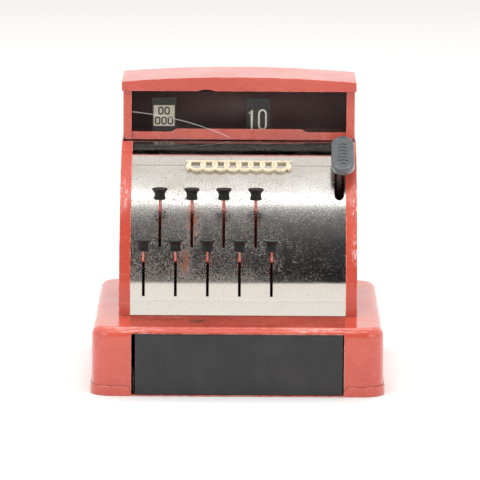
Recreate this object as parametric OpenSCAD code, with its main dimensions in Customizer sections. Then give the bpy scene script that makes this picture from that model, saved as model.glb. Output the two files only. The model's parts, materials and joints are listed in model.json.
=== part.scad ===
// Toy cash register: pressed-steel case, nine sprung keys that raise flags behind a window,
// a side lever that rings a bell and frees the drawer, and a drawer that slides out of the base.
// X runs to the right, Y to the back and Z up. The origin is the middle of the footprint.

/* [Base] */
// Width over the bottom pan's flange
base_w = 171.4; // [168:0.2:176]
// Depth over the bottom pan's flange
base_d = 178.6; // [176:0.2:184]
// Height of the base's flat top
base_h = 40; // [39:0.5:41]
// Thickness of the pressed steel
sheet_t = 0.8; // [0.6:0.1:1]

/* [Body] */
// Width of the body over its side panels
body_w = 140; // [139:0.5:142]
// Radius of the bright curved front
front_r = 106; // [105:0.5:107]
// Width of each side panel's front flange
flange_w = 6.7; // [5:0.1:7]
// How high the side panels stand over the base
body_rise = 95.7; // [95:0.1:96.5]

/* [Display] */
// Height of the window's opening over the body
window_rise = 30.5; // [29:0.5:32]
// How far the roof's middle stands above its sides
roof_crown = 2.9; // [1:0.1:4]

/* [Keys] */
// Distance between one key lever and the next
key_pitch = 9.4; // [9.2:0.1:9.6]
// Turn of a key lever from rest to its stop, in degrees
key_swing = 22; // [20:1:22]
// Diameter of a key cap's rim
cap_d = 9.2; // [8.6:0.1:9.6]

/* [Drawer] */
// Width of the drawer's front
drawer_w = 120.4; // [118:0.1:120.8]
// Height of the drawer's front
drawer_h = 35.4; // [34:0.1:35.6]

/* [Hidden] */
$fn = 64;
gap = 0.1;                                  // between two pressings that lie together

// Base
flange_h = 5.8;                             // the bottom pan's upturned flange
shell_w = base_w - 2 * (sheet_t + gap);
shell_d = base_d - 2 * (sheet_t + gap);
corner_r = 12;                              // the base's corners, seen from above
edge_r = 6;                                 // the base's top edge
front_y = -base_d / 2;
opening_w = 123.2;
opening_h = 36.4;
drawer_shift = 0.7;                         // the front sits a little right of the middle, as worn runners leave it

// Body
front_foot_y = -46;                         // where the curved front meets the base
arc_y = front_foot_y + front_r;             // the curve's centre is level with the base's top
arc_z = base_h;
body_top = base_h + body_rise;
back_y = 64;
chrome_t = 0.6;
side_x = body_w / 2;
chrome_w = body_w - 2 * flange_w;
window_y = 14.6;                            // the pane's front face

// Levers
shaft = [6, 60];                            // main shaft, as Y and Z
shaft_r = 2.5;
running = 0.05;                             // radial clearance of a running fit
lever_t = 1.2;
key_count = 9;
first_key_x = -55.6;
tail_len = 53;
tail_droop = key_swing / 2;
tail_r = 2.5;
flag_rise = 2 * tail_len * sin(tail_droop);
raised_flags = [1, 7];                      // the two flags that stand in the window
foot_gap = 0.25;
slot_w = 1.7;

// Side lever
lever_x = 59.5;
lever_swing = 14;
lever_plate_t = 2.5;
stem_angle = 104.4;
stem_len = 67;
grip_len = 28.6;
grip_w = 13.8;
grip_t = 5;
grip_lean = 38.8;                           // the grip's face, up from level
grip_at = [61.5, -13.1, 130.8];
finger_r = 24;
finger_at = [shaft[0] - finger_r * cos(lever_swing / 2), shaft[1] + finger_r * sin(lever_swing / 2)];
rear_arm_r = 30;
rear_arm_at = [shaft[0] + rear_arm_r * cos(10), shaft[1] + rear_arm_r * sin(10)];

// Latch, bell and hammer
latch_x = 54;
latch_pivot = [25, 47];
latch_nose = [-18, 57.8];
latch_pin_r = 1.5;
bell_at = [40, 38];
bell_r = 16;
bell_rim_z = 68.6;
bell_h = 11;
hammer_x = 46;
hammer_len = 47;
hammer_droop = 7.5;
hammer_ball_r = 3;

// Flags
stem_y = [57.4, 61.4];
tab_w = 14.3;
tab_h = 22.5;
tab_top = 160.5;
tab_shift = 1.3;                            // a tab stands a little to the right of its stem
arm_z = [132.5, 138.5];
guide_z = [84, 104];
brake_z = 92;

// Drawer
tray_w = 119;
tray_d = 149;
tray_h = 27.6;
tray_z = 2.4;

KEYS = [for (i = [1 : key_count]) i];

function key_x(i) = first_key_x + key_pitch * i;
function is_upper(i) = i % 2 == 1;
function is_raised(i) = len([for (r = raised_flags) if (r == i) r]) > 0;
// Path of a key lever's front arm: shaft, slot, elbow and the foot of the cap, as Y and Z
function key_path(i) = is_upper(i)
    ? [shaft, [-26.5, 101.5], [-40, 103.5], [-40, 108]]
    : [shaft, [-41, 73.5], [-53, 75.5], [-53, 79.6]];
function cap_foot(i) = key_path(i)[3];
function arc_pts(r, a0, a1, n, c = [0, 0]) =
    [for (k = [0 : n]) c + r * [cos(a0 + (a1 - a0) * k / n), sin(a0 + (a1 - a0) * k / n)]];
// Outline of a bar with round ends from p to q
function bar_pts(p, q, w, n = 8) = let (a = atan2(q[1] - p[1], q[0] - p[0]))
    concat(arc_pts(w / 2, a - 90, a + 90, n, q), arc_pts(w / 2, a + 90, a + 270, n, p));

// ---- Helpers ----

// A plate that stands in the Y-Z plane, centred on x
module yz_plate(x, t) {
    translate([x - t / 2, 0, 0]) rotate([90, 0, 90]) linear_extrude(t) children();
}

module bar(p, q, w) {
    polygon(bar_pts(p, q, w));
}

module x_rod(x0, x1, at, r) {
    translate([x0, at[0], at[1]]) rotate([0, 90, 0]) cylinder(h = x1 - x0, r = r);
}

module x_tube(x0, x1, at, r, bore) {
    difference() {
        x_rod(x0, x1, at, r);
        x_rod(x0 - 1, x1 + 1, at, bore);
    }
}

module box(x, y, z) {
    translate([x[0], y[0], z[0]]) cube([x[1] - x[0], y[1] - y[0], z[1] - z[0]]);
}

module rounded_rect(w, d, r) {
    polygon(concat(
        arc_pts(r, 0, 90, 12, [w / 2 - r, d / 2 - r]), arc_pts(r, 90, 180, 12, [r - w / 2, d / 2 - r]),
        arc_pts(r, 180, 270, 12, [r - w / 2, r - d / 2]), arc_pts(r, 270, 360, 12, [w / 2 - r, r - d / 2])));
}

// A block with round corners in plan and a round top edge
module soft_block(w, d, h, rc, re) {
    hull() {
        linear_extrude(1) rounded_rect(w, d, rc);
        for (x = [-1, 1], y = [-1, 1]) {
            translate([x * (w / 2 - rc), y * (d / 2 - rc), 0]) rotate_extrude($fn = 48)
                polygon(concat([[0, 0]], [[rc, 0]], arc_pts(re, 0, 90, 8, [rc - re, h - re]), [[0, h]]));
        }
    }
}

// A coil of round wire along +Z from the origin, as one swept solid
module coil(r, wire_r, turns, length, steps = 14, sides = 6) {
    n = turns * steps;
    ring = [for (s = [0 : n]) let (a = 360 * s / steps, z = wire_r + (length - 2 * wire_r) * s / n)
        for (k = [0 : sides - 1]) let (b = 360 * k / sides)
            [(r + wire_r * cos(b)) * cos(a), (r + wire_r * cos(b)) * sin(a), z + wire_r * sin(b)]];
    walls = [for (s = [0 : n - 1], k = [0 : sides - 1]) let (k2 = (k + 1) % sides)
        each [[s * sides + k, (s + 1) * sides + k, s * sides + k2],
              [(s + 1) * sides + k, (s + 1) * sides + k2, s * sides + k2]]];
    first = [for (k = [0 : sides - 1]) k];
    last = [for (k = [sides - 1 : -1 : 0]) n * sides + k];
    polyhedron(ring, concat([first], walls, [last]));
}

// ---- Base and drawer ----

module base_shell() color([0.80, 0.27, 0.22]) {
    z0 = sheet_t + gap;
    difference() {
        translate([0, 0, z0]) soft_block(shell_w, shell_d, base_h - z0, corner_r, edge_r);
        translate([0, 0, -1]) soft_block(shell_w - 2 * sheet_t, shell_d - 2 * sheet_t, base_h - sheet_t + 1,
                                         corner_r - sheet_t, edge_r - sheet_t);
        box([-opening_w / 2, opening_w / 2], [front_y - 5, front_y + 12], [-1, opening_h]);
        box([latch_x - 3, latch_x + 3], [50, 63], [base_h - 5, base_h + 5]);
    }
}

module base_pan() color([0.80, 0.27, 0.22]) {
    end_r = 4.5;
    difference() {
        linear_extrude(flange_h) rounded_rect(base_w, base_d, corner_r + sheet_t + gap);
        translate([0, 0, sheet_t]) linear_extrude(flange_h)
            rounded_rect(base_w - 2 * sheet_t, base_d - 2 * sheet_t, corner_r + gap);
        box([-opening_w / 2, opening_w / 2], [front_y - 5, front_y + 5], [sheet_t, flange_h + 1]);
        for (s = [-1, 1]) mirror([s < 0 ? 1 : 0, 0, 0])
            translate([opening_w / 2, front_y - 5, flange_h - end_r]) rotate([-90, 0, 0])
                linear_extrude(10) polygon(concat([[-0.01, -end_r - 1], [end_r, -end_r - 1]],
                    [for (p = arc_pts(end_r, 90, 180, 8)) [p[0] + end_r, -p[1]]]));
    }
}

module drawer_runners() color([0.72, 0.72, 0.74]) {
    for (s = [-1, 1]) mirror([s < 0 ? 1 : 0, 0, 0]) {
        box([54, tray_w / 2 + 1.4], [-84, 64], [sheet_t + gap, tray_z - 0.2]);
        box([tray_w / 2 + 0.4, tray_w / 2 + 1.4], [-84, 64], [tray_z - 0.3, 14]);
    }
}

tray_y0 = front_y + 2.2;
module drawer_tray() color([0.72, 0.72, 0.74]) {
    translate([-tray_w / 2, tray_y0, tray_z]) difference() {
        cube([tray_w, tray_d, tray_h]);
        translate([sheet_t, sheet_t, sheet_t]) cube([tray_w - 2 * sheet_t, tray_d - 2 * sheet_t, tray_h]);
    }
}

// The front is a shallow pan: its edges are folded back towards the tray
module drawer_front() color([0.10, 0.10, 0.11]) {
    z0 = 0.95;
    difference() {
        box([drawer_shift - drawer_w / 2, drawer_shift + drawer_w / 2], [front_y, front_y + 2.1], [z0, z0 + drawer_h]);
        box([drawer_shift - drawer_w / 2 + 1, drawer_shift + drawer_w / 2 - 1], [front_y + 1, front_y + 3],
            [z0 + 1, z0 + drawer_h - 1]);
    }
    box([2 - tray_w / 2, tray_w / 2 - 2], [front_y + 0.9, front_y + 2.1], [tray_z + 2, tray_z + tray_h - 2]);
}

module drawer_divider() color([0.92, 0.90, 0.84]) {
    t = 1.2;
    z = [tray_z + sheet_t + 0.05, tray_z + 20];
    x1 = tray_w / 2 - sheet_t - 0.1;
    y0 = tray_y0 + sheet_t + 0.1;
    cross_y = y0 + 58;
    box([-x1, x1], [cross_y, cross_y + t], z);
    for (k = [-1 : 1]) box([k * 29.4 - t / 2, k * 29.4 + t / 2], [y0, cross_y + 0.1], z);
    box([-t / 2, t / 2], [cross_y + t - 0.1, tray_y0 + tray_d - sheet_t - 0.1], z);
}

module drawer_spring() color([0.60, 0.60, 0.63]) {
    y0 = tray_y0 + tray_d + 0.3;
    y1 = base_d / 2 - 2 * sheet_t - gap - 0.4;
    translate([0, y0, 18]) rotate([-90, 0, 0]) coil(6, 0.6, 6, y1 - y0);
}

// ---- Case ----

// Outline of a side, as Y and Z, with the curved front at radius r
module side_outline(r) {
    top_a = asin((body_top - arc_z) / r);
    polygon(concat([[back_y, base_h + gap], [arc_y - r, base_h + gap]],
                   arc_pts(r, 180, 180 - top_a, 24, [arc_y, arc_z]),
                   [[back_y, body_top]]));
}

// Part of a ring about the front's centre, between two angles up from level
module front_band(r0, r1, a0, a1) {
    polygon(concat(arc_pts(r1, 180 - a0, 180 - a1, 24, [arc_y, arc_z]),
                   arc_pts(r0, 180 - a1, 180 - a0, 24, [arc_y, arc_z])));
}

module side_panel(s) {
    outer_r = front_r + gap + sheet_t;
    top_a = asin((body_top - 0.3 - arc_z) / outer_r);
    bottom_a = asin(gap / outer_r);
    mirror([s < 0 ? 1 : 0, 0, 0]) difference() {
        union() {
            yz_plate(side_x - sheet_t / 2, sheet_t) side_outline(outer_r);
            yz_plate(side_x - flange_w / 2, flange_w) front_band(front_r + gap, outer_r, bottom_a, top_a);
            box([side_x - 9, side_x], [back_y - 2 * sheet_t - gap, back_y - sheet_t - gap],
                [base_h + gap, body_top - 6]);
            box([side_x - 9, side_x], [front_foot_y + 2, back_y - 2], [base_h + gap, base_h + gap + sheet_t]);
        }
        x_rod(side_x - 3, side_x + 3, shaft, shaft_r + running);
        for (z = [50, 122]) translate([side_x - 5, back_y, z]) rotate([90, 0, 0])
            cylinder(h = 12, r = 1.3, center = true);
        if (s > 0) box([latch_x - 4, latch_x + 20], [front_foot_y, back_y - 8], [base_h, base_h + 3]);
    }
}
module left_side_panel() color([0.80, 0.27, 0.22]) side_panel(-1);
module right_side_panel() color([0.80, 0.27, 0.22]) side_panel(1);

module back_panel() color([0.80, 0.27, 0.22]) difference() {
    box([-side_x + sheet_t + gap, side_x - sheet_t - gap], [back_y - sheet_t, back_y],
        [base_h + gap, body_top - gap]);
    for (s = [-1, 1], z = [50, 122]) translate([s * (side_x - 5), back_y, z]) rotate([90, 0, 0])
        cylinder(h = 12, r = 1.3, center = true);
}

// The bright front: a curved sheet with nine slots for the keys and one for the side lever
module front_panel() color([0.80, 0.80, 0.82]) {
    half = chrome_w / 2 + 3;
    difference() {
        yz_plate(0, 2 * half) front_band(front_r - chrome_t, front_r, asin(0.2 / front_r),
                                         asin((body_top - 0.4 - arc_z) / front_r));
        for (i = [0 : key_count - 1])
            box([key_x(i) - slot_w / 2, key_x(i) + slot_w / 2], [-60, 10], is_upper(i) ? [79.3, 107] : [51.3, 78.5]);
        box([lever_x - 2.9, lever_x + 2.9], [-60, 12], [108.4, 127]);
        translate([lever_x, 0, 108.4]) rotate([90, 0, 0]) cylinder(h = 60, r = 2.9);
    }
}

// Cream trim: a thin rail with a row of lozenges between two long drops
module front_ornament() color([0.93, 0.88, 0.74]) {
    a = 51.2;
    translate([0, arc_y - (front_r + 0.15) * cos(a), arc_z + (front_r + 0.15) * sin(a)]) rotate([90 - a, 0, 0]) {
        box([-32, 32], [-0.9, 0.9], [0, 1.4]);
        for (k = [-3 : 3]) translate([k * 8, 0, 0]) linear_extrude(1.9)
            polygon([[-3.4, 0], [0, -4.2], [3.4, 0], [0, 4.2]]);
    }
}

// ---- Display ----

hood_x = side_x - sheet_t - gap;
hood_z = [body_top - 5, 168];
post_w = 5;
roof_y = [12, 65];
roof_lip_z = 165.4;
roof_side_z = 171.1;

module display_hood() color([0.80, 0.27, 0.22]) {
    y0 = window_y - gap - sheet_t;
    difference() {
        box([-hood_x, hood_x], [y0, back_y - sheet_t - gap], hood_z);
        box([sheet_t - hood_x, hood_x - sheet_t], [y0 + sheet_t, back_y - 2 * sheet_t - gap],
            [hood_z[0] - 1, hood_z[1] + 1]);
        box([post_w - hood_x, hood_x - post_w], [y0 - 1, y0 + 2], [hood_z[0] - 1, hood_z[1] + 1]);
        box([-hood_x - 1, hood_x + 1], [y0 - 1, y0 + 6], [hood_z[0] - 1, body_top + 0.4]);
        for (s = [-1, 1]) box([s * hood_x - 1.5, s * hood_x + 1.5], [y0 - 1, y0 + 3], [body_top, body_top + 2]);
    }
}

module window_sill() color([0.80, 0.27, 0.22]) {
    y0 = window_y + 0.6 + gap;
    x1 = hood_x - sheet_t - gap;
    low = body_top + 5;
    raised = low + 1.8;
    translate([0, y0 + sheet_t, 0]) rotate([90, 0, 0]) linear_extrude(sheet_t)
        polygon([[-x1, body_top + 0.2], [x1, body_top + 0.2], [x1, low], [40, low], [37.5, raised],
                 [-37.5, raised], [-40, low], [-x1, low]]);
    box([-x1, x1], [y0, y0 + 4], [body_top + 0.2, body_top + 0.2 + sheet_t]);
}

module window_pane() color([0.75, 0.78, 0.80, 0.35]) {
    x1 = hood_x - sheet_t - gap;
    box([-x1, x1], [window_y, window_y + 0.6], [body_top + 0.3, body_top + window_rise + 1]);
}

// Section through the roof, which is crowned from side to side
module roof_outline(inset, low) {
    half = side_x;
    top_r = (half * half + roof_crown * roof_crown) / (2 * roof_crown);
    r = top_r - inset;
    a = asin((half - inset) / r);
    polygon(concat([[half - inset, low], [inset - half, low]],
                   arc_pts(r, 90 + a, 90 - a, 24, [0, roof_side_z + roof_crown - top_r])));
}

// The roof: a crowned plate with a lip all round
module roof_cover() color([0.80, 0.27, 0.22]) difference() {
    translate([0, roof_y[1], 0]) rotate([90, 0, 0]) linear_extrude(roof_y[1] - roof_y[0])
        roof_outline(0, roof_lip_z);
    translate([0, roof_y[1] - sheet_t, 0]) rotate([90, 0, 0])
        linear_extrude(roof_y[1] - roof_y[0] - 2 * sheet_t) roof_outline(sheet_t, roof_lip_z - 1);
    // A knock in the lip's lower edge
    translate([-19.5, roof_y[0] + 1, roof_lip_z - 13]) rotate([90, 0, 0]) cylinder(h = 2, r = 14);
}

// ---- Key works ----

module main_shaft() color([0.66, 0.66, 0.69]) x_rod(-side_x + 0.1, side_x - 0.1, shaft, shaft_r);

module shaft_spacers() color([0.66, 0.66, 0.69]) {
    half_t = lever_t / 2 + 0.1;
    bore = shaft_r + running;
    r = 4;
    x_tube(-side_x + sheet_t + gap, key_x(0) - half_t, shaft, r, bore);
    for (i = [0 : key_count - 2]) x_tube(key_x(i) + half_t, key_x(i + 1) - half_t, shaft, r, bore);
    x_tube(key_x(key_count - 1) + half_t, hammer_x - 1.6, shaft, r, bore);
    x_tube(hammer_x + 1.6, lever_x - lever_plate_t / 2 - 0.2, shaft, r, bore);
    x_tube(lever_x + lever_plate_t / 2 + 0.2, side_x - sheet_t - gap, shaft, r, bore);
}

module key_lever(i) color([0.80, 0.27, 0.22]) {
    path = key_path(i);
    tip = [shaft[0] + tail_len * cos(tail_droop), shaft[1] - tail_len * sin(tail_droop)];
    difference() {
        yz_plate(key_x(i), lever_t) {
            bar(path[0], path[1], 5);
            bar(path[1], path[2], 4.4);
            bar(path[2], path[3] + [0, 2.4], 3.4);
            bar(path[0], path[0] + [0.01, 0], 10);
            bar(path[0], tip, 2 * tail_r);
        }
        x_rod(key_x(i) - 3, key_x(i) + 3, shaft, shaft_r + running);
    }
}

// A round cap with a wide thin rim, a waist and a foot, slotted for its lever
module key_cap(i) color([0.11, 0.12, 0.12]) {
    foot = cap_foot(i);
    rim = cap_d / 2;
    translate([key_x(i), foot[0], foot[1]]) difference() {
        rotate_extrude() polygon([[0, 0], [3.3, 0], [3.5, 0.4], [3.3, 2], [3.35, 3.4], [3.7, 4.7],
                                  [rim - 0.2, 5.7], [rim, 6], [rim, 6.4], [rim - 0.3, 6.7], [0, 6.7]]);
        box([-0.65, 0.65], [-1.8, 1.8], [-1, 4.4]);
    }
}

// A stop under the tails of the keys, an angle that stands on the base
module key_stop_bar() color([0.66, 0.66, 0.69]) {
    box([-60, 22], [46, 47.2], [base_h + gap, 48.2]);
    box([-60, 22], [30, 46.1], [base_h + gap, base_h + gap + 1]);
}

module key_springs() color([0.60, 0.60, 0.63]) {
    y = 34;
    low = base_h + gap + 1.1;
    high = shaft[1] - (y - shaft[0]) * tan(tail_droop) - tail_r / cos(tail_droop) - 0.3;
    for (i = [0 : key_count - 1]) translate([key_x(i), y, low]) coil(1.8, 0.3, 6, high - low, 10, 5);
}

// A flag: a foot over its key's tail, a stem behind, an arm and a tab in the window
module flag(i) color([0.09, 0.09, 0.10]) {
    x = key_x(i);
    foot_z = shaft[1] + tail_len * sin(tail_droop) + tail_r + foot_gap;
    tab_y = is_upper(i) ? 21 : 24;
    translate([0, 0, is_raised(i) ? 0 : -flag_rise]) {
        yz_plate(x, 1) {
            translate([stem_y[0], foot_z]) square([stem_y[1] - stem_y[0], arm_z[1] - foot_z]);
            translate([tab_y, arm_z[0]]) square([stem_y[1] - tab_y, arm_z[1] - arm_z[0]]);
        }
        box([x - 2.5, x + 2.5], stem_y, [foot_z, foot_z + 1]);
        box([x + tab_shift - tab_w / 2, x + tab_shift + tab_w / 2], [tab_y, tab_y + 0.8], [tab_top - tab_h, tab_top]);
    }
}

module flag_guide(z) color([0.66, 0.66, 0.69]) {
    x1 = side_x - sheet_t - gap;
    y = [stem_y[0] - 3, back_y - 2 * sheet_t - 2 * gap];
    difference() {
        box([-x1, x1], y, [z, z + 1]);
        for (i = [0 : key_count - 1])
            box([key_x(i) - 0.7, key_x(i) + 0.7], [stem_y[0] - 0.2, stem_y[1] + 0.2], [z - 1, z + 2]);
    }
    for (s = [-1, 1]) mirror([s < 0 ? 1 : 0, 0, 0]) box([x1 - 1, x1], y, [z - 7, z + 0.1]);
}
module flag_guide_lower() flag_guide(guide_z[0]);
module flag_guide_upper() flag_guide(guide_z[1]);

// A sprung strip that bears on the fronts of the stems, so that a raised flag stays up
module flag_brake() color([0.66, 0.66, 0.69]) {
    x1 = side_x - sheet_t - gap;
    box([-x1, x1], [stem_y[0] - 0.6, stem_y[0] - 0.3], [brake_z - 3, brake_z + 3]);
    box([-x1, x1], [stem_y[0] - 5, stem_y[0] - 0.5], [brake_z - 3, brake_z - 2.5]);
    for (s = [-1, 1]) mirror([s < 0 ? 1 : 0, 0, 0])
        box([x1 - 0.8, x1], [stem_y[0] - 5, stem_y[0] - 0.5], [brake_z - 3, brake_z + 3]);
}

// ---- Side lever, latch and bell ----

module side_lever() color([0.16, 0.15, 0.15]) {
    tip = shaft + stem_len * [cos(stem_angle), sin(stem_angle)];
    difference() {
        union() {
            yz_plate(lever_x, lever_plate_t) {
                bar(shaft, shaft + [0.01, 0], 13);
                bar(shaft, tip, 6);
                bar(shaft, finger_at, 6);
                bar(shaft, rear_arm_at, 6);
            }
            x_rod(hammer_x - 1.4, lever_x, finger_at, 2.5);
        }
        x_rod(lever_x - 5, lever_x + 5, shaft, shaft_r + running);
    }
}

// A pill-shaped grip on a short boss that holds the lever's end
module side_lever_grip() color([0.20, 0.22, 0.23]) {
    half = grip_len / 2 - grip_w / 2;
    tip = shaft + stem_len * [cos(stem_angle), sin(stem_angle)];
    difference() {
        translate(grip_at) rotate([grip_lean, 0, 0]) {
            translate([0, 0, -grip_t / 2]) linear_extrude(grip_t)
                polygon(concat(arc_pts(grip_w / 2, 0, 180, 16, [0, half]), arc_pts(grip_w / 2, 180, 360, 16, [0, -half])));
            translate([lever_x - grip_at[0], 0, -grip_t / 2 - 2.5]) cube([6, 12, 5.2], center = true);
        }
        yz_plate(lever_x, lever_plate_t + 0.1) bar(shaft, tip, 6.1);
    }
}

module side_lever_spring() color([0.60, 0.60, 0.63]) {
    low = base_h + 1.2;
    translate([lever_x, rear_arm_at[0], low]) coil(2.2, 0.4, 7, rear_arm_at[1] - 3.4 - low, 12, 6);
}

module drawer_latch() color([0.66, 0.66, 0.69]) difference() {
    yz_plate(latch_x, 1.5) {
        bar(latch_pivot, [4, 49], 5);
        bar([4, 49], latch_nose, 5);
        bar(latch_pivot, [57, 45], 5);
        bar([57, 45], [57, 32.6], 4);
    }
    x_rod(latch_x - 3, latch_x + 3, latch_pivot, latch_pin_r + running);
}

module latch_bracket() color([0.66, 0.66, 0.69]) {
    z0 = base_h + gap;
    for (s = [-1, 1]) yz_plate(latch_x + s * 2, 1) translate([latch_pivot[0] - 4, z0]) square([8, 10.5]);
    box([latch_x - 2.5, latch_x + 2.5], [latch_pivot[0] - 4, latch_pivot[0] + 4], [z0, z0 + 0.9]);
    x_rod(latch_x - 2.5, latch_x + 2.5, latch_pivot, latch_pin_r);
}

module bell() color([0.78, 0.66, 0.34]) {
    r_out = (bell_r * bell_r + bell_h * bell_h) / (2 * bell_h);
    a = asin(bell_r / r_out);
    t = 1;
    hole_a = asin(1.6 / r_out);
    translate([bell_at[0], bell_at[1], bell_rim_z + bell_h - r_out]) rotate_extrude()
        polygon(concat(arc_pts(r_out, 90 - a, 90 - hole_a, 14), arc_pts(r_out - t, 90 - hole_a, 90 - a, 14)));
}

// The post with its shouldered stud and head, which the bell hangs from
module bell_post() color([0.66, 0.66, 0.69]) translate([bell_at[0], bell_at[1], 0]) {
    top = bell_rim_z + bell_h;
    translate([0, 0, base_h + gap]) cylinder(h = 1.2, r = 6);
    translate([0, 0, base_h + gap]) cylinder(h = top - 1.4 - base_h - gap, r = 3);
    translate([0, 0, top - 3]) cylinder(h = 4, r = 1.4);
    translate([0, 0, top + 0.15]) cylinder(h = 1.6, r = 3);
}

module bell_hammer() color([0.66, 0.66, 0.69]) {
    tip = [shaft[0] + hammer_len * cos(hammer_droop), shaft[1] - hammer_len * sin(hammer_droop)];
    difference() {
        union() {
            yz_plate(hammer_x, 1.5) bar(shaft, tip, 3.4);
            yz_plate(hammer_x, 1.5) bar(shaft, shaft - 25 * [cos(3.3), sin(3.3)], 3.4);
            x_rod(hammer_x - 1.5, hammer_x + 1.5, shaft, 4.5);
        }
        x_rod(hammer_x - 5, hammer_x + 5, shaft, shaft_r + running);
    }
    translate([hammer_x, tip[0], tip[1]]) sphere(hammer_ball_r, $fn = 32);
}

// Four round-headed screws that hold the back to the sides
module case_screws() color([0.70, 0.70, 0.72]) {
    for (s = [-1, 1], z = [50, 122]) translate([s * (side_x - 5), back_y + 0.02, z]) rotate([90, 0, 0]) {
        translate([0, 0, -1.1]) cylinder(h = 1.1, r = 2.5);
        translate([0, 0, -0.1]) cylinder(h = 5, r = 1.2);
    }
}

base_shell();
base_pan();
drawer_runners();
drawer_tray();
drawer_front();
drawer_divider();
drawer_spring();
left_side_panel();
right_side_panel();
back_panel();
front_panel();
display_hood();
window_sill();
window_pane();
roof_cover();
front_ornament();
main_shaft();
shaft_spacers();
key_stop_bar();
key_springs();
flag_guide_lower();
flag_guide_upper();
flag_brake();
side_lever();
side_lever_grip();
side_lever_spring();
drawer_latch();
latch_bracket();
bell();
bell_post();
bell_hammer();
case_screws();
for (i = [0 : key_count - 1]) {
    key_lever(i);
    key_cap(i);
    flag(i);
}
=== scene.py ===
"""Looks of the toy cash register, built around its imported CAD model. Lengths are in metres."""

import json
import math

import bmesh
import bpy
from mathutils import Matrix, Vector


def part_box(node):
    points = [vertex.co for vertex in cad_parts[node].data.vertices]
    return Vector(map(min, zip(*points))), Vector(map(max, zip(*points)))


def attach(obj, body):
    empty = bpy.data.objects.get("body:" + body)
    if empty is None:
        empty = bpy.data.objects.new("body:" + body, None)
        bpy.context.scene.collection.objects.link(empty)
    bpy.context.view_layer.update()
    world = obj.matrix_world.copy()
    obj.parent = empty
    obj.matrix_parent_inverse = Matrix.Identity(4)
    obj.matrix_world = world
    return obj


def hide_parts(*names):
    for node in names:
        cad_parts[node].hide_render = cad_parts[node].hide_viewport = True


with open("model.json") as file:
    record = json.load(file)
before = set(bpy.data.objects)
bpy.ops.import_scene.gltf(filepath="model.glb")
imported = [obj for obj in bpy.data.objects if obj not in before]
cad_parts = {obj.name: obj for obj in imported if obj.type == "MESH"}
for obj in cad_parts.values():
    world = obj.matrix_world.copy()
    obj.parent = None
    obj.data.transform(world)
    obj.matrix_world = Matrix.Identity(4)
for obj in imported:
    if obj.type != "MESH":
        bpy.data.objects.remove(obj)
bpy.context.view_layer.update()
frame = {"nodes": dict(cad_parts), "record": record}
NODES = frame["nodes"]
MM = 0.001

# The line that the front panel curves about, and the radius of the trim's back, just off the panel
CURVE_Y, CURVE_Z, CURVE_R = 0.060, 0.040, 0.1062
# Where the crease and the trim sit on that curve, in degrees above level
CREASE_ANGLE, TRIM_ANGLE = 51.8, 51.2

# The camera stands where the photographer stood: a long lens, a little above the object
CAMERA_PLACE = (0.001, -2.689, 0.5076)
CAMERA_LENS = 342.46
CAMERA_DOWN, CAMERA_ROLL = 0.158497, 0.0060

FLOOR_HALF = 8.0
WORLD_STRENGTH = 0.95
WHITE = (1.0, 0.99, 0.98, 1)
# What lies ahead of the object, from the horizon in front (0) over the top to the horizon behind (1):
# a pale table, a dim room, a bright ceiling
WORLD_BANDS = (
    (0.0, (0.95, 0.90, 0.83)), (0.060, (0.90, 0.84, 0.77)), (0.0665, (0.024, 0.023, 0.023)),
    (0.105, (0.018, 0.018, 0.018)), (0.20, (0.050, 0.048, 0.047)), (0.30, (0.17, 0.165, 0.16)),
    (0.345, (0.33, 0.325, 0.32)), (0.362, (0.98, 0.97, 0.96)), (0.43, (1.08, 1.07, 1.05)),
    (0.50, (0.90, 0.86, 0.81)), (0.60, (0.84, 0.79, 0.73)), (1.0, (1.0, 0.99, 0.98)))


# ---- Camera, light and floor ----


def make_camera():
    data = bpy.data.cameras.new("camera")
    data.lens = CAMERA_LENS
    data.sensor_width = 36.0
    data.clip_end = 20
    cam = bpy.data.objects.new("camera", data)
    bpy.context.scene.collection.objects.link(cam)
    place = Matrix.Translation(CAMERA_PLACE)
    tilt = Matrix.Rotation(math.pi / 2 - CAMERA_DOWN, 4, "X")
    roll = Matrix.Rotation(CAMERA_ROLL, 4, "Z")
    cam.matrix_world = place @ tilt @ roll
    bpy.context.scene.camera = cam


def area_light(name, place, target, size, power, size_y=None, glossy=True):
    data = bpy.data.lights.new(name, "AREA")
    data.energy = power
    data.shape = "RECTANGLE"
    data.size = size
    data.size_y = size_y or size
    light = bpy.data.objects.new(name, data)
    bpy.context.scene.collection.objects.link(light)
    light.location = place
    light.visible_glossy = glossy
    light.rotation_euler = (Vector(target) - Vector(place)).to_track_quat("-Z", "Y").to_euler()


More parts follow.
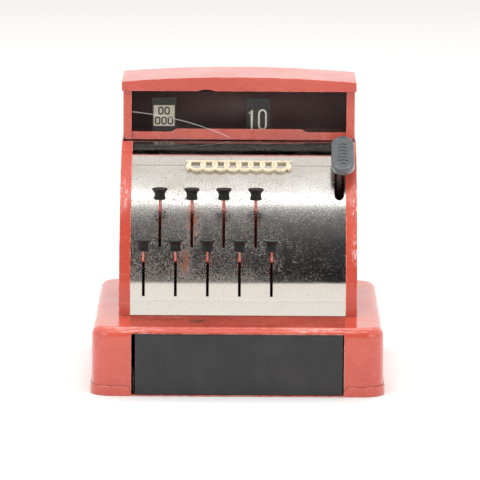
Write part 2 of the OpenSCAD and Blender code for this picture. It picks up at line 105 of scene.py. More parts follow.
class Nodes:
    """A short way to write a node tree: n("Kind", inputs..., settings) makes one node and returns it."""

    def __init__(self, tree):
        self.tree = tree
        tree.nodes.clear()

    def __call__(self, kind, inputs=None, **settings):
        node = self.tree.nodes.new(kind)
        for key, value in settings.items():
            setattr(node, key, value)
        for key, value in (inputs or {}).items():
            socket = node.inputs[key]
            if isinstance(value, bpy.types.NodeSocket):
                self.tree.links.new(value, socket)
            else:
                socket.default_value = value
        return node

    def math(self, operation, a, b=0.0, clamp=False):
        return self("ShaderNodeMath", {0: a, 1: b}, operation=operation, use_clamp=clamp).outputs[0]

    def ramp(self, value, low, high, smooth=True):
        """0 below low, 1 above high; low may be the larger."""
        node = self("ShaderNodeMapRange", {"Value": value, "From Min": low, "From Max": high})
        node.interpolation_type = "SMOOTHSTEP" if smooth else "LINEAR"
        return node.outputs[0]

    def mix(self, factor, a, b):
        node = self("ShaderNodeMix", data_type="RGBA")
        for name, value in (("Factor_Float", factor), ("A_Color", a), ("B_Color", b)):
            socket = next(s for s in node.inputs if s.identifier == name)
            if isinstance(value, bpy.types.NodeSocket):
                self.tree.links.new(value, socket)
            else:
                socket.default_value = value
        return next(s for s in node.outputs if s.identifier == "Result_Color")

    def noise(self, vector, scale, detail=3.0, roughness=0.5):
        inputs = {"Vector": vector, "Scale": scale, "Detail": detail, "Roughness": roughness}
        return self("ShaderNodeTexNoise", inputs).outputs["Fac"]

    def stretched(self, vector, factors):
        return self("ShaderNodeVectorMath", {0: vector, 1: factors}, operation="MULTIPLY").outputs[0]

    def spread(self, value, low, high):
        """Turns the middle of a noise's range, 0.3 to 0.7, into low to high."""
        inputs = {"Value": value, "From Min": 0.3, "From Max": 0.7, "To Min": low, "To Max": high}
        return self("ShaderNodeMapRange", inputs).outputs[0]

    def spots(self, vector, scale, size, random=1.0):
        """1 inside scattered round spots, 0 outside. size is a share of the spacing."""
        found = self("ShaderNodeTexVoronoi", {"Vector": vector, "Scale": scale, "Randomness": random})
        return self.ramp(found.outputs["Distance"], size, size * 0.6)


def make_world():
    world = bpy.data.worlds.new("studio")
    bpy.context.scene.world = world
    world.use_nodes = True
    n = Nodes(world.node_tree)
    where = n("ShaderNodeSeparateXYZ", {0: n("ShaderNodeTexCoord").outputs["Generated"]})
    x, y, z = where.outputs
    up = n.math("ARCTAN2", z, n.math("MULTIPLY", y, -1.0))
    stops = n("ShaderNodeValToRGB", {0: n.math("DIVIDE", up, math.pi)})
    ramp = stops.color_ramp
    ramp.interpolation = "LINEAR"
    while len(ramp.elements) < len(WORLD_BANDS):
        ramp.elements.new(0.5)
    for element, (place, tone) in zip(ramp.elements, WORLD_BANDS):
        element.position = place
        element.color = tone + (1,)
    # The bands lie ahead only; the walls at the sides are white
    ahead = n.math("MULTIPLY", n.ramp(n.math("ABSOLUTE", x), 0.50, 0.25), n.ramp(up, -0.02, 0.02))
    colour = n.mix(ahead, WHITE, stops.outputs[0])
    back = n("ShaderNodeBackground", {"Color": colour, "Strength": WORLD_STRENGTH})
    n("ShaderNodeOutputWorld", {"Surface": back.outputs[0]})


def make_stage():
    mesh = bpy.data.meshes.new("stage_floor")
    bm = bmesh.new()
    corners = ((-1, -1), (1, -1), (1, 1), (-1, 1))
    bm.faces.new([bm.verts.new((x * FLOOR_HALF, y * FLOOR_HALF, 0.0)) for x, y in corners])
    bm.to_mesh(mesh)
    bm.free()
    floor = bpy.data.objects.new("stage_floor", mesh)
    bpy.context.scene.collection.objects.link(floor)
    mat = bpy.data.materials.new("pale_floor")
    mat.use_nodes = True
    n = Nodes(mat.node_tree)
    skin = n("ShaderNodeBsdfPrincipled", {"Base Color": (0.84, 0.836, 0.832, 1), "Roughness": 0.7})
    n("ShaderNodeOutputMaterial", {"Surface": skin.outputs[0]})
    mesh.materials.append(mat)


# ---- Materials ----


def material(name):
    mat = bpy.data.materials.new(name)
    mat.use_nodes = True
    n = Nodes(mat.node_tree)
    return mat, n, n("ShaderNodeTexCoord").outputs["Object"]


def finish(n, surface):
    n("ShaderNodeOutputMaterial", {"Surface": surface})


def bump(n, height, strength, distance, normal=None):
    inputs = {"Height": height, "Strength": strength, "Distance": distance}
    if normal is not None:
        inputs["Normal"] = normal
    return n("ShaderNodeBump", inputs).outputs[0]


def edge_mask(n, radius):
    """1 on sharp outer and inner edges, 0 on flat ground."""
    soft = n("ShaderNodeBevel", {"Radius": radius}, samples=6).outputs[0]
    flat = n("ShaderNodeNewGeometry").outputs["Normal"]
    same = n("ShaderNodeVectorMath", {0: soft, 1: flat}, operation="DOT_PRODUCT").outputs["Value"]
    return n.ramp(same, 0.995, 0.90)


def near(n, where, point, radius):
    """1 at a point, falling to 0 at the radius."""
    away = n("ShaderNodeVectorMath", {0: where, 1: point}, operation="DISTANCE").outputs["Value"]
    return n.ramp(away, radius, radius * 0.15)


def red_enamel(name, seed, rust=(), shade_crevices=True, rubs_and_highlights=()):
    """Old red enamel. rust holds (place, reach). The pale streaks hold (place, reach, how the streaks are drawn out):
    rubbed paint on the side flanges, painted highlights along the base's top front edge. Crevices may be darkened
    with painted shade.
    """
    mat, n, where = material(name)
    shifted = n("ShaderNodeVectorMath", {0: where, 1: (seed, seed * 0.7, -seed)}, operation="ADD").outputs[0]
    cloud = n.ramp(n.noise(shifted, 22, 4), 0.35, 0.68)
    colour = n.mix(cloud, (0.55, 0.070, 0.044, 1), (0.63, 0.100, 0.062, 1))
    # Faint rubbed streaks and small dark nicks
    streaks = n.noise(n.stretched(shifted, (0.25, 1, 1)), 420, 2)
    colour = n.mix(n.math("MULTIPLY", n.ramp(streaks, 0.60, 0.72), 0.14), colour, (0.80, 0.30, 0.24, 1))
    nicks = n.math("MULTIPLY", n.spots(shifted, 160, 0.16), n.ramp(n.noise(shifted, 60, 2), 0.56, 0.64))
    colour = n.mix(n.math("MULTIPLY", nicks, 0.75), colour, (0.11, 0.045, 0.035, 1))
    # Edges pale, partly from worn paint and partly as a painted highlight, and bare in places
    pale_edges = n.math("MULTIPLY", edge_mask(n, 0.9 * MM), n.ramp(n.noise(shifted, 190, 4, 0.6), 0.40, 0.56))
    colour = n.mix(n.math("MULTIPLY", pale_edges, 0.8), colour, (0.86, 0.52, 0.46, 1))
    bare = n.math("MULTIPLY", edge_mask(n, 0.45 * MM), n.ramp(n.noise(shifted, 130, 5, 0.65), 0.56, 0.63))
    colour = n.mix(bare, colour, (0.16, 0.085, 0.06, 1))
    # Painted shade: darker in crevices and where parts meet, found by ambient occlusion
    if shade_crevices:
        hidden = n("ShaderNodeAmbientOcclusion", {"Distance": 1.6 * MM}, samples=6).outputs["AO"]
        crevice_shade = n.math("MULTIPLY", n.ramp(hidden, 0.62, 0.30), 0.7)
        colour = n.mix(crevice_shade, colour, (0.075, 0.018, 0.014, 1))
    # Pale patches: rubbed paint on the side flanges, painted highlights along the base's top front edge
    for point, radius, stretch in rubs_and_highlights:
        drawn = n.stretched(where, stretch)
        middle = tuple(a * b for a, b in zip(point, stretch))
        patch = n.math("MULTIPLY", near(n, drawn, middle, radius), n.ramp(n.noise(drawn, 800, 4, 0.6), 0.50, 0.60))
        colour = n.mix(n.math("MULTIPLY", patch, 0.6), colour, (0.90, 0.66, 0.61, 1))
    for point, radius in rust:
        patch = n.math("MULTIPLY", near(n, where, point, radius), n.ramp(n.noise(where, 330, 5, 0.7), 0.36, 0.52))
        colour = n.mix(patch, colour, (0.15, 0.065, 0.035, 1))
    rough = n.spread(n.noise(shifted, 45, 5, 0.6), 0.20, 0.36)
    peel = bump(n, n.noise(shifted, 520, 2), 0.07, 0.12 * MM)
    dents = bump(n, n.noise(shifted, 26, 1), 0.10, 0.8 * MM, peel)
    skin = n("ShaderNodeBsdfPrincipled", {"Base Color": colour, "Roughness": rough, "Normal": dents,
                                          "Coat Weight": 0.6, "Coat Roughness": 0.10})
    finish(n, skin.outputs[0])
    return mat


# Rust on the bright panel, beside the slot of the second key in the upper row and a key below it
PANEL_RUST = ((-0.0268, -0.036, 0.095), (-0.0315, -0.043, 0.073))


def pitted_chrome(name):
    mat, n, where = material(name)
    x, y, z = n("ShaderNodeSeparateXYZ", {0: where}).outputs
    # Pits are thickest to the left and over the middle; the lower right and the foot are cleaner
    wander = n.math("MULTIPLY", n.math("SUBTRACT", n.noise(where, 22, 4), 0.5), 0.07)
    left = n.ramp(n.math("ADD", x, wander), 0.052, -0.012)
    high = n.ramp(n.math("ADD", z, wander), 0.082, 0.104)
    middle = n.math("MULTIPLY", n.ramp(z, 0.057, 0.064), n.ramp(z, 0.134, 0.112))
    amount = n.math("MULTIPLY", n.math("MAXIMUM", left, n.math("MULTIPLY", high, 0.75)), middle)
    amount = n.math("ADD", n.math("MULTIPLY", amount, 0.92), 0.08)
    clumps = n.noise(where, 95, 4, 0.65)
    fine = n.math("MULTIPLY", n.spots(where, 1250, 0.42), n.ramp(clumps, 0.60, 0.40))
    wide = n.math("MULTIPLY", n.spots(where, 560, 0.30), n.ramp(n.noise(where, 60, 3), 0.56, 0.42))
    large = n.math("MULTIPLY", n.spots(where, 300, 0.20), n.ramp(n.noise(where, 45, 2), 0.46, 0.58))
    pits = n.math("MULTIPLY", n.math("MAXIMUM", n.math("MAXIMUM", fine, wide), large), amount)
    few = n.math("MULTIPLY", n.spots(where, 330, 0.09), n.ramp(n.noise(where, 40, 2), 0.46, 0.60))
    pits = n.math("MAXIMUM", pits, few)
    grain = n.math("MULTIPLY", n.ramp(n.noise(where, 1500, 4, 0.7), 0.36, 0.66), amount)
    haze = n.math("MULTIPLY", n.ramp(n.noise(where, 50, 6, 0.7), 0.36, 0.68), amount)
    colour = n.mix(haze, (0.90, 0.885, 0.865, 1), (0.70, 0.67, 0.63, 1))
    colour = n.mix(n.math("MULTIPLY", grain, 0.34), colour, (0.36, 0.335, 0.31, 1))
    colour = n.mix(n.math("MULTIPLY", pits, 0.85), colour, (0.20, 0.175, 0.15, 1))
    tall = (2.6, 0.6, 0.8)
    narrow = n.stretched(where, tall)
    upper, lower = (tuple(a * b for a, b in zip(spot, tall)) for spot in PANEL_RUST)
    rust = n.math("MAXIMUM", near(n, narrow, upper, 0.017), near(n, narrow, lower, 0.013))
    rust = n.math("MULTIPLY", rust, n.ramp(n.noise(where, 480, 5, 0.75), 0.45, 0.54))
    dots = n.math("MULTIPLY", n.spots(where, 120, 0.045), n.ramp(n.noise(where, 30, 2), 0.44, 0.5))
    rust = n.math("MAXIMUM", rust, dots)
    colour = n.mix(rust, colour, (0.30, 0.085, 0.020, 1))
    # Painted shade: the strip under the window is darkened, as the chrome there mirrors the dark inside of the hood
    painted_shade_strip = n.math("MULTIPLY", n.ramp(z, 0.1283, 0.1292), n.ramp(n.noise(where, 900, 3, 0.7), 0.74, 0.60))
    colour = n.mix(n.math("MULTIPLY", painted_shade_strip, 0.72), colour, (0.10, 0.080, 0.070, 1))
    dull = n.math("MAXIMUM", n.math("MULTIPLY", pits, 0.85), rust)
    metallic = n.math("SUBTRACT", 1.0, n.math("MULTIPLY", dull, 0.92))
    coarse = n.math("ADD", n.math("MULTIPLY", n.math("MAXIMUM", dull, grain), 0.30), 0.035)
    rough = n.math("ADD", n.math("MULTIPLY", haze, 0.07), coarse)
    # The crease across the panel is a shallow groove at one angle of the curve
    angle = n.math("ARCTAN2", n.math("SUBTRACT", z, CURVE_Z), n.math("SUBTRACT", CURVE_Y, y))
    off = n.math("SUBTRACT", angle, math.radians(CREASE_ANGLE))
    step = n.ramp(off, -0.010, 0.002)
    waves = bump(n, n.noise(n.stretched(where, (1, 0.4, 0.4)), 34, 2), 0.25, 0.8 * MM)
    creased = bump(n, step, 0.45, 0.15 * MM, waves)
    # The panel's foot flares out a little
    creased = bump(n, n.ramp(z, 0.0485, 0.040, smooth=False), 1.0, 0.64 * MM, creased)
    eaten = n.math("MAXIMUM", dull, n.math("MULTIPLY", grain, 0.5))
    normal = bump(n, n.math("MULTIPLY", eaten, -1.0), 0.30, 0.05 * MM, creased)
    # Painted shade: a dark line drawn along the crease
    line = n.ramp(n.math("ABSOLUTE", off), 0.0042, 0.0012)
    colour = n.mix(n.math("MULTIPLY", line, 0.55), colour, (0.16, 0.12, 0.10, 1))
    skin = n("ShaderNodeBsdfPrincipled",
             {"Base Color": colour, "Metallic": metallic, "Roughness": rough, "Normal": normal})
    finish(n, skin.outputs[0])
    return mat


def dusty(name, dark, dust, rough, amount, scale, coat=0.0, wear=None, shine_level=0.5):
    """Moulded plastic or enamel with dust and light scratches in it."""
    mat, n, where = material(name)
    cloud = n.ramp(n.noise(where, scale, 5, 0.65), 0.42, 0.72)
    colour = n.mix(n.math("MULTIPLY", cloud, amount), dark, dust)
    lines = n.noise(n.stretched(where, (0.06, 1, 1.6)), 1500, 2)
    colour = n.mix(n.math("MULTIPLY", n.ramp(lines, 0.64, 0.72), amount * 0.45), colour, dust)
    if wear:
        pale_edges = n.math("MULTIPLY", edge_mask(n, 0.5 * MM), n.ramp(n.noise(where, 300, 4, 0.6), 0.42, 0.58))
        colour = n.mix(n.math("MULTIPLY", pale_edges, 0.8), colour, wear)
    shine = n.spread(n.noise(where, scale * 0.4, 4), *rough)
    normal = bump(n, n.noise(where, 900, 2), 0.08, 0.1 * MM)
    skin = n("ShaderNodeBsdfPrincipled",
             {"Base Color": colour, "Roughness": shine, "Normal": normal, "Specular IOR Level": shine_level,
              "Coat Weight": coat, "Coat Roughness": 0.1})
    finish(n, skin.outputs[0])
    return mat


def metal(name, light, dark, rough, scale, stretch=(1, 1, 1)):
    mat, n, where = material(name)
    grain = n.noise(n.stretched(where, stretch), scale, 5, 0.6)
    colour = n.mix(n.ramp(grain, 0.35, 0.7), light, dark)
    tarnish = n.ramp(n.noise(where, 70, 4, 0.6), 0.58, 0.70)
    colour = n.mix(n.math("MULTIPLY", tarnish, 0.5), colour, tuple(0.45 * c for c in dark[:3]) + (1,))
    shine = n.spread(grain, *rough)
    skin = n("ShaderNodeBsdfPrincipled", {"Base Color": colour, "Metallic": 1.0, "Roughness": shine,
                                          "Normal": bump(n, grain, 0.1, 0.1 * MM)})
    finish(n, skin.outputs[0])
    return mat


def clear_sheet(name):
    """Thin clear plastic: mostly see-through, with a faint haze and the gloss of its face."""
    mat, n, where = material(name)
    smear = n.ramp(n.noise(where, 60, 5, 0.65), 0.40, 0.75)
    haze = n("ShaderNodeBsdfDiffuse", {"Color": (0.55, 0.53, 0.51, 1)})
    clear = n("ShaderNodeBsdfTransparent", {"Color": (1.0, 1.0, 1.0, 1)})
    amount = n.math("ADD", n.math("MULTIPLY", smear, 0.02), 0.006)
    body = n("ShaderNodeMixShader", {0: amount, 1: clear.outputs[0], 2: haze.outputs[0]})
    gloss = n("ShaderNodeBsdfGlossy", {"Roughness": 0.06, "Normal": bump(n, n.noise(where, 30, 2), 0.1, 0.5 * MM)})
    face = n.math("MULTIPLY", n("ShaderNodeFresnel", {"IOR": 1.4}).outputs[0], 0.09)
    whole = n("ShaderNodeMixShader", {0: face, 1: body.outputs[0], 2: gloss.outputs[0]})
    finish(n, whole.outputs[0])
    return mat


# Rust through the enamel on top of the base: a place and how far it reaches
BASE_RUST = (((-0.0235, -0.064, 0.040), 0.0085), ((0.012, -0.066, 0.040), 0.003))
# Pale streaks on the enamel: a place, how far it reaches, and how its streaks are drawn out. On the side flanges they
# are rubbed paint; along the base's top front edge they are painted highlights
UPRIGHT, LEVEL = (1.5, 0.35, 0.35), (0.2, 1.4, 1.4)
FLANGE_RUBS = (((-0.0680, -0.021, 0.108), 0.0065, UPRIGHT), ((0.0690, -0.025, 0.103), 0.0070, UPRIGHT),
               ((0.0690, -0.040, 0.080), 0.0055, UPRIGHT))
# Painted highlights along the base's top front edge and on its top
EDGE_HIGHLIGHTS = (((-0.060, -0.0868, 0.0392), 0.0050, LEVEL), ((0.048, -0.0868, 0.0392), 0.0055, LEVEL),
             ((-0.040, -0.052, 0.040), 0.0030, LEVEL))

# Plastics, prints and dark finishes: dark and dusty colour, range of roughness, amount of dust, its scale
MAT = {
    "red": red_enamel("red_enamel", 0.0, BASE_RUST, rubs_and_highlights=EDGE_HIGHLIGHTS),
    "red_top": red_enamel("red_enamel_hood", 3.1),
    "red_side": red_enamel("red_enamel_sides", 7.7, rubs_and_highlights=FLANGE_RUBS),
    "red_sill": red_enamel("red_enamel_sill", 5.3, shade_crevices=False),
    "chrome": pitted_chrome("pitted_chrome"),
    "black": dusty("black_enamel", (0.017, 0.0165, 0.018, 1), (0.075, 0.07, 0.068, 1), (0.28, 0.40), 0.16, 60,
                   wear=(0.34, 0.32, 0.31, 1)),
    "flag": dusty("flag_enamel", (0.010, 0.0095, 0.010, 1), (0.03, 0.026, 0.026, 1), (0.45, 0.6), 0.3, 160),
    # Painted shade: a dark maroon for the card standing in for the shaded inside of the hood
    "inside": dusty("painted_shade_maroon", (0.135, 0.056, 0.050, 1), (0.18, 0.095, 0.086, 1), (0.5, 0.7), 0.4, 60),
    "cap": dusty("black_plastic", (0.0085, 0.0095, 0.0095, 1), (0.10, 0.095, 0.088, 1), (0.30, 0.48), 0.16, 420,
                 wear=(0.24, 0.23, 0.21, 1), shine_level=0.2),
    "grip": dusty("grey_plastic", (0.085, 0.096, 0.103, 1), (0.20, 0.21, 0.215, 1), (0.14, 0.26), 0.2, 300,
                  coat=0.8, wear=(0.2, 0.21, 0.22, 1)),
    "stem": dusty("dark_steel", (0.045, 0.030, 0.026, 1), (0.14, 0.09, 0.07, 1), (0.35, 0.55), 0.5, 300,
                  wear=(0.25, 0.2, 0.17, 1)),
    "cream": dusty("cream_plastic", (0.80, 0.71, 0.52, 1), (0.52, 0.40, 0.25, 1), (0.28, 0.42), 0.45, 330,
                   coat=0.3, wear=(0.9, 0.84, 0.7, 1)),
    "print": dusty("cream_print", (0.74, 0.70, 0.60, 1), (0.50, 0.46, 0.38, 1), (0.5, 0.7), 0.4, 500),
    "card": dusty("cream_card", (0.62, 0.57, 0.46, 1), (0.42, 0.37, 0.28, 1), (0.6, 0.8), 0.5, 300),
    "ink": dusty("black_ink", (0.018, 0.017, 0.017, 1), (0.12, 0.1, 0.08, 1), (0.5, 0.7), 0.35, 500),
    "crack": dusty("crack_edge", (0.86, 0.85, 0.83, 1), (0.5, 0.48, 0.45, 1), (0.2, 0.4), 0.3, 500),
    "steel": metal("zinc_steel", (0.62, 0.62, 0.64, 1), (0.40, 0.40, 0.42, 1), (0.25, 0.45), 300),
    "wire": metal("spring_wire", (0.55, 0.55, 0.57, 1), (0.33, 0.33, 0.35, 1), (0.2, 0.35), 600),
    "brass": metal("brass_bell", (0.78, 0.60, 0.28, 1), (0.60, 0.44, 0.18, 1), (0.12, 0.28), 120),
    "tray": metal("tray_steel", (0.60, 0.60, 0.62, 1), (0.44, 0.44, 0.45, 1), (0.3, 0.5), 240, (0.1, 1, 1)),
    "clear": clear_sheet("clear_sheet"),
}


# ---- Mesh helpers ----


def piece(name, mesh, mat, body, slot, *replaced):
    made = bpy.data.objects.new(name, mesh)
    bpy.context.scene.collection.objects.link(made)
    if mat is not None:
        mesh.materials.clear()
        mesh.materials.append(MAT[mat])
    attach(made, body)
    if replaced:
        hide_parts(*replaced)
    return made


def smooth(mesh, degrees=35):
    for face in mesh.polygons:
        face.use_smooth = True
    mesh.set_sharp_from_angle(angle=math.radians(degrees))


def soften(made, width, segments=2, degrees=35):
    """Rounds the sharp edges, so that they catch the light."""
    edge = made.modifiers.new("edge", "BEVEL")
    edge.width = width
    edge.segments = segments
    edge.limit_method = "ANGLE"
    edge.angle_limit = math.radians(degrees)
    edge.use_clamp_overlap = True
    flat = made.modifiers.new("flat", "WEIGHTED_NORMAL")
    flat.keep_sharp = True


def from_bmesh(name, bm, degrees=35):
    bmesh.ops.recalc_face_normals(bm, faces=bm.faces)
    mesh = bpy.data.meshes.new(name)
    bm.to_mesh(mesh)
    bm.free()
    smooth(mesh, degrees)
    return mesh


def clean_copy(node):
    """A CAD node's shape with its triangles joined into whole faces, ready to have its edges rounded."""
    bm = bmesh.new()
    bm.from_mesh(NODES[node].data)
    bmesh.ops.remove_doubles(bm, verts=bm.verts, dist=2e-6)
    bmesh.ops.dissolve_limit(bm, angle_limit=math.radians(0.4), verts=bm.verts, edges=bm.edges)
    plain = bpy.data.meshes.new(node + "_plain")
    bm.to_mesh(plain)
    bm.free()
    mesh = bpy.data.meshes.new(node + "_skin")
    mesh.from_pydata([v.co[:] for v in plain.vertices], [], [f.vertices[:] for f in plain.polygons])
    bpy.data.meshes.remove(plain)
    return mesh


BODY_OF = {node: body for body, nodes in frame["record"]["behaviour"]["bodies"].items() for node in nodes}
SLOT_OF = {s["node"]: s["material_slot"] for s in frame["record"]["subparts"]}


def reskin(node, mat, width, segments=2, degrees=35):
    mesh = clean_copy(node)
    smooth(mesh, degrees)
    made = piece(node + "_skin", mesh, mat, BODY_OF[node], SLOT_OF[node], node)
    soften(made, width, segments, degrees)
    return made


def keep(node, mat):
    """A CAD node that stays as it is, with a finish of its own."""
    mesh = NODES[node].data
    mesh.materials.clear()
    mesh.materials.append(MAT[mat])


def lathe(name, profile, place, segments=48):
    bm = bmesh.new()
    rings = []
    for r, z in profile:
        if r < 1e-7:
            rings.append([bm.verts.new(Vector(place) + Vector((0, 0, z)))])
        else:
            rings.append([bm.verts.new(Vector(place) + Vector((r * math.cos(a), r * math.sin(a), z)))
                          for a in (2 * math.pi * k / segments for k in range(segments))])
    for a, b in zip(rings, rings[1:]):
        for k in range(segments):
            k2 = (k + 1) % segments
            if len(a) == 1:
                bm.faces.new((a[0], b[k], b[k2]))
            elif len(b) == 1:
                bm.faces.new((a[k], b[0], a[k2]))
            else:
                bm.faces.new((a[k], b[k], b[k2], a[k2]))
    return from_bmesh(name, bm, 50)


def ribbon(bm, points, width, thick, plane):
    """A flat stroke of even width along points in a plane's own two axes. plane turns (u, v, depth) into a place."""
    sides = []
    for k, p in enumerate(points):
        before = Vector(points[max(k - 1, 0)])
        after = Vector(points[min(k + 1, len(points) - 1)])
        along = (after - before).normalized()
        across = Vector((-along.y, along.x)) * width / 2
        if 0 < k < len(points) - 1:
            a = (Vector(p) - before).normalized()
            across /= max(0.5, abs(a.dot(along)))
        sides.append((Vector(p) + across, Vector(p) - across))
    loops = [[bm.verts.new(plane(q.x, q.y, depth)) for q, depth in ((l, 0), (r, 0), (r, thick), (l, thick))]
             for l, r in sides]
    for a, b in zip(loops, loops[1:]):
        for k in range(4):
            bm.faces.new((a[k], a[(k + 1) % 4], b[(k + 1) % 4], b[k]))
    bm.faces.new(loops[0])
    bm.faces.new(loops[-1])


def block(bm, place, sides):
    bmesh.ops.create_cube(bm, size=1, matrix=place @ Matrix.Diagonal(tuple(sides) + (1,)))


def arc(cx, cy, rx, ry, start, end, n=10):
    return [(cx + rx * math.cos(a), cy + ry * math.sin(a))
            for a in (math.radians(start + (end - start) * k / n) for k in range(n + 1))]


# Strokes of plain numerals in a box W wide and 1 high, with bends of radius R
W, R = 0.42, 0.21
DIGIT_GAP = 0.22
DIGITS = {
    "0": [arc(R, 1 - R, R, R, 0, 180) + arc(R, R, R, R, 180, 360) + [(W, 1 - R)]],
    "1": [[(0.04, 0.80), (R, 1.0), (R, 0.0)]],
    "2": [arc(R, 1 - R, R, R, 170, 0) + [(W, 0.66), (0.0, 0.0), (W, 0.0)]],
    "3": [arc(R, 1 - R, R, R, 160, -60) + [(0.17, 0.54)], [(0.17, 0.54)] + arc(R, 0.27, R, 0.27, 80, -160)],
    "5": [[(W, 1.0), (0.03, 1.0), (0.0, 0.58)] + arc(R, 0.31, R, 0.31, 110, -150)],
    "7": [[(0.0, 1.0), (W, 1.0), (0.13, 0.0)]],
}


def numerals(bm, text, centre, height, stroke, plane, thick, squeeze=1.0):
    total = (W * len(text) + DIGIT_GAP * (len(text) - 1)) * height * squeeze
    left = centre[0] - total / 2
    for digit in text:
        for path in DIGITS[digit]:
            points = [(left + u * height * squeeze, centre[1] - height / 2 + v * height) for u, v in path]
            ribbon(bm, points, stroke, thick, plane)
        left += (W + DIGIT_GAP) * height * squeeze


# ---- The register ----


def build_case():
    reskin("base_shell", "red", 0.35 * MM)
    reskin("base_pan", "red", 0.25 * MM)
    for side in ("left", "right"):
        reskin(side + "_side_panel", "red_side", 0.3 * MM)
    reskin("back_panel", "red_side", 0.25 * MM)
    reskin("display_hood", "red_top", 0.3 * MM)
    reskin("window_sill", "red_sill", 0.3 * MM)
    reskin("roof_cover", "red_top", 0.8 * MM, 3)
    reskin("front_panel", "chrome", 0.12 * MM, 2)
    reskin("drawer_front", "black", 0.5 * MM, 3)
    reskin("drawer_runners", "stem", 0.12 * MM)
    for node in ("main_shaft", "shaft_spacers", "key_stop_bar", "flag_guide_lower", "flag_guide_upper",
                 "flag_brake", "drawer_latch", "latch_bracket", "bell_post", "bell_hammer"):
        reskin(node, "steel", 0.12 * MM)
    reskin("case_screws", "steel", 0.5 * MM, 3)
    reskin("bell", "brass", 0.2 * MM)
    reskin("drawer_tray", "tray", 0.25 * MM)
    reskin("drawer_divider", "print", 0.3 * MM)
    reskin("side_lever", "stem", 0.4 * MM)
    for node in ("key_springs", "drawer_spring", "side_lever_spring"):
        keep(node, "wire")
    keep("window_pane", "clear")


# The crack's ends across the window, the height it starts at, and how far it drops: evenly, and in a bend
CRACK_INSET, CRACK_END = 4.1 * MM, -5.5 * MM
CRACK_TOP, CRACK_SLOPE, CRACK_BEND = 0.1527, 0.0062, 0.0090
CRACK_STEPS = 32


def build_crack():
    """A fine curved crack in the window's sheet, from the left post down across the sill."""
    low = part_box("window_pane")[0]
    left = low.x + CRACK_INSET
    points = []
    for k in range(CRACK_STEPS + 1):
        t = k / CRACK_STEPS
        points.append((left + (CRACK_END - left) * t, CRACK_TOP - CRACK_SLOPE * t - CRACK_BEND * t ** 2.2))
    bm = bmesh.new()
    ribbon(bm, points, 0.19 * MM, 0.10 * MM, lambda u, v, d: (u, low.y - 0.01 * MM - d, v))
    piece("pane_crack", from_bmesh("pane_crack", bm), "crack", "case", "clear_sheet")


# Half the outline of a key cap below its flare, in millimetres: radius and height
CAP_STEM = [(0, 0), (2.9, 0), (3.3, 0.15), (3.5, 0.55), (3.42, 1.2), (3.15, 2.0), (3.08, 2.9), (3.2, 3.8), (3.6, 4.7)]
# The flare and the dished top: how far in from the widest radius, and height
CAP_FLARE = [(0.35, 5.45), (0.08, 5.75), (0, 6.05), (0, 6.35), (0.12, 6.58)]
CAP_DISH = [(0.9, 6.62), (1.5, 6.42), (2.6, 6.3)]


def build_caps():
    for i in range(1, 10):
        low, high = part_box("key_cap_%d" % i)
        r = (high.x - low.x) / 2 / MM
        tall = (high.z - low.z) / MM
        centre = Vector(((low.x + high.x) / 2, (low.y + high.y) / 2, low.z))
        profile = CAP_STEM + [(r - inset, z) for inset, z in CAP_FLARE] + [(r - 0.45, tall)]
        profile += [(r - inset, z) for inset, z in CAP_DISH] + [(0, 6.25)]
        mesh = lathe("key_cap_%d_turned" % i, [(a * MM, b * MM) for a, b in profile], centre)
        piece("key_cap_%d_turned" % i, mesh, "cap", "key_%d" % i, "black_plastic", "key_cap_%d" % i)
        reskin("key_lever_%d" % i, "red_side", 0.2 * MM)


# The lever's grip: its middle, its lean, half its length, width and thickness
GRIP_AT = Vector((61.5, -13.1, 130.8)) * MM
GRIP_LEAN = 38.8
GRIP_LEN, GRIP_W, GRIP_T = 28.6 / 2 * MM, 13.8 / 2 * MM, 2.5 * MM
# Rings from the back of the grip to the face inside its rim: share of the half width, share of the half thickness
GRIP_RINGS = [(0.86, -1.0), (0.95, -0.93), (1.0, -0.6), (1.0, 0.2), (0.985, 0.6), (0.93, 0.9), (0.86, 1.0),
              (0.78, 1.0), (0.73, 0.86), (0.70, 0.80)]
GRIP_SIDES = 64


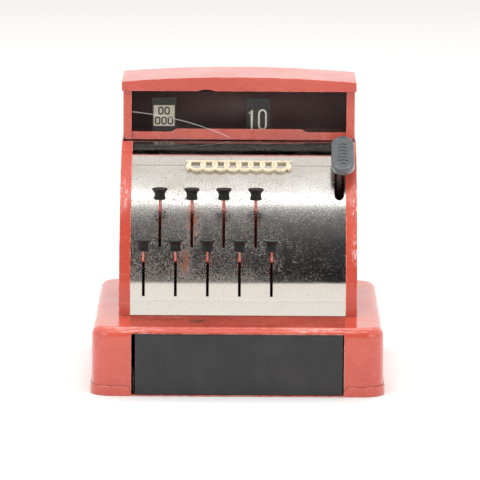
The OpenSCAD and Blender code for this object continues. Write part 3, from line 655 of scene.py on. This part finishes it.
def build_grip():
    """A pill-shaped grip with a rounded edge, a low rim round its face and plain ribs inside the rim."""
    place = Matrix.Translation(GRIP_AT) @ Matrix.Rotation(math.radians(GRIP_LEAN), 4, "X")
    angles = [2 * math.pi * (k + 0.5) / GRIP_SIDES for k in range(GRIP_SIDES)]
    bm = bmesh.new()
    rings = []
    for share, z in GRIP_RINGS:
        r = share * GRIP_W
        rings.append([bm.verts.new(place @ Vector((
            r * math.cos(a),
            r * math.sin(a) + math.copysign(GRIP_LEN - GRIP_W, math.sin(a)),
            z * GRIP_T))) for a in angles])
    for a, b in zip(rings, rings[1:]):
        for k in range(GRIP_SIDES):
            k2 = (k + 1) % GRIP_SIDES
            bm.faces.new((a[k], a[k2], b[k2], b[k]))
    bm.faces.new(rings[0])
    bm.faces.new(rings[-1])
    mesh = from_bmesh("lever_grip", bm, 55)
    grip = piece("lever_grip", mesh, "grip", "total_lever", "grey_plastic", "side_lever_grip")
    soften(grip, 0.15 * MM, 2, 50)
    bm = bmesh.new()
    for k in range(-3, 4):
        v = k * 2.6 * MM
        wide = 3.1 * MM if abs(k) < 3 else 2.2 * MM
        ribbon(bm, [(-wide, v - 0.5 * MM), (0, v + 0.35 * MM), (wide, v - 0.5 * MM)], 0.75 * MM, 0.7 * MM,
               lambda u, w, d: place @ Vector((u, w, GRIP_T * 0.78 + d - 0.2 * MM)))
    ribs = piece("lever_grip_ribs", from_bmesh("lever_grip_ribs", bm), "grip", "total_lever", "grey_plastic")
    soften(ribs, 0.2 * MM)
    # The boss under the grip that holds the lever's end
    bm = bmesh.new()
    block(bm, place @ Matrix.Translation((-2.0 * MM, 0, -4.4 * MM)), (6 * MM, 12 * MM, 4.4 * MM))
    boss = piece("lever_grip_boss", from_bmesh("lever_grip_boss", bm), "grip", "total_lever", "grey_plastic")
    soften(boss, 1.2 * MM, 4)


# The trim's stroke widths and the end drops beside its wave, in millimetres on the curve from the trim's middle
TRIM_RAIL, TRIM_STROKE = 1.2, 1.6
TRIM_DROP = ((28.4, 1.5), (29.8, 1.0), (30.6, -0.6), (30.2, -2.3), (29.2, -3.2))
TRIM_WAVES, WAVE_STEPS, RAIL_STEPS = 8, 30, 24


def build_trim():
    """Cream trim: a thin rail with a running wave below it between two drops, all on the panel's curve."""

    def plane(u, v, d):
        a = math.radians(TRIM_ANGLE) + v / CURVE_R
        r = CURVE_R + d
        return (u, CURVE_Y - r * math.cos(a), CURVE_Z + r * math.sin(a))

    bm = bmesh.new()
    rail = [((-31.5 + k * 63 / RAIL_STEPS) * MM, 3.3 * MM) for k in range(RAIL_STEPS + 1)]
    ribbon(bm, rail, TRIM_RAIL * MM, 1.5 * MM, plane)
    wave = []
    for k in range(TRIM_WAVES * WAVE_STEPS + 1):
        t = k / (TRIM_WAVES * WAVE_STEPS)
        a = 2 * math.pi * TRIM_WAVES * t
        wave.append(((-28.2 + 56.4 * t - 2.5 * math.sin(a)) * MM, (-0.9 + 2.9 * math.cos(a)) * MM))
    ribbon(bm, wave, TRIM_STROKE * MM, 1.9 * MM, plane)
    for side in (-1, 1):
        ribbon(bm, [(side * u * MM, v * MM) for u, v in TRIM_DROP], TRIM_STROKE * MM, 1.9 * MM, plane)
    trim = piece("front_trim", from_bmesh("front_trim", bm, 40), "cream", "case", "cream_plastic", "front_ornament")
    soften(trim, 0.28 * MM)


FLAG_TEXT = ["100", "00", "75", "50", "30", "25", "15", "10", "5"]


# How far the middle of a flag's print is from the flag's right edge
PRINT_INSET = 7.15 * MM
CARD_SIDE = 12.5 * MM
FIGURE_HEIGHT, CARD_FIGURE_HEIGHT = 11.6 * MM, 4.0 * MM


def build_flags():
    """Plain numbers on the flags; the second flag bears a pale card with two rows of zeros."""
    for i, text in enumerate(FLAG_TEXT, 1):
        node = "flag_%d" % i
        body = "money_flag_%d" % i
        reskin(node, "flag", 0.15 * MM)
        low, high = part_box(node)
        x = high.x - PRINT_INSET
        front = low.y
        top = high.z

        def on_face(u, v, d):
            return (u, front - 0.02 * MM - d, v)

        def on_card(u, v, d):
            return (u, front - 0.25 * MM - d, v)

        bm = bmesh.new()
        if i == 2:
            middle = top - 10.9 * MM
            block(bm, Matrix.Translation((x, front - 0.13 * MM, middle)), (CARD_SIDE, 0.22 * MM, CARD_SIDE))
            card = piece("flag_2_card", from_bmesh("flag_2_card", bm), "card", body, "cream_plastic_matte")
            soften(card, 0.08 * MM)
            bm = bmesh.new()
            for zeros, rise, squeeze in (("00", 3.0 * MM, 1.45), ("000", -3.0 * MM, 1.5)):
                numerals(bm, zeros, (x, middle + rise), CARD_FIGURE_HEIGHT, 0.9 * MM, on_card, 0.08 * MM, squeeze)
            piece("flag_2_figures", from_bmesh("flag_2_figures", bm), "ink", body, "black_enamel")
            continue
        squeeze = 0.70 if len(text) == 3 else 0.86
        centre = (x - 0.7 * MM, top - 13.0 * MM)
        numerals(bm, text, centre, FIGURE_HEIGHT, 1.0 * MM, on_face, 0.1 * MM, squeeze)
        piece("flag_%d_figures" % i, from_bmesh("flag_%d_figures" % i, bm), "print", body, "cream_plastic_matte")


# Heights of the dark card that is painted shade for the inside of the hood
SHADE_CARD_BOTTOM, SHADE_CARD_TOP = 0.1392, 0.1672


def build_shade_card():
    """A dark card behind the flags, which closes the window's view: painted shade in place of the shaded inside of
    the hood.
    """
    low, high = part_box("display_hood")
    bm = bmesh.new()
    x = high.x - 1.4 * MM
    rows = [(low.y + 30 * MM, SHADE_CARD_BOTTOM), (low.y + 31 * MM, SHADE_CARD_TOP)]
    points = [[bm.verts.new((side * x, y, z)) for side in (-1, 1)] for y, z in rows]
    bm.faces.new((points[0][0], points[0][1], points[1][1], points[1][0]))
    made = piece("window_shade_card", from_bmesh("window_shade_card", bm), "inside", "case", "black_enamel")
    thick = made.modifiers.new("thick", "SOLIDIFY")
    thick.thickness = 0.4 * MM


# ---- The scene ----

make_camera()
make_world()
make_stage()
area_light("top_softbox", (0.0, 0.55, 1.9), (0, 0.0, 0.1), 1.9, 14, glossy=False)
area_light("front_softbox", (0.0, -0.65, 1.85), (0, 0.0, 0.1), 1.0, 13, glossy=False)
area_light("back_strip", (0.0, 1.0, 1.75), (0, 0.0, 0.1), 1.7, 8, size_y=0.3)
area_light("front_strip", (0.0, -0.65, 1.80), (0, 0.0, 0.1), 1.7, 2.0, size_y=0.25)
area_light("left_softbox", (-1.7, -1.3, 1.2), (0, 0, 0.08), 1.2, 6)
area_light("right_softbox", (1.7, -1.3, 1.0), (0, 0, 0.08), 1.0, 4)
bpy.context.scene.view_settings.view_transform = "Standard"
build_case()
build_crack()
build_caps()
build_grip()
build_trim()
build_flags()
build_shade_card()
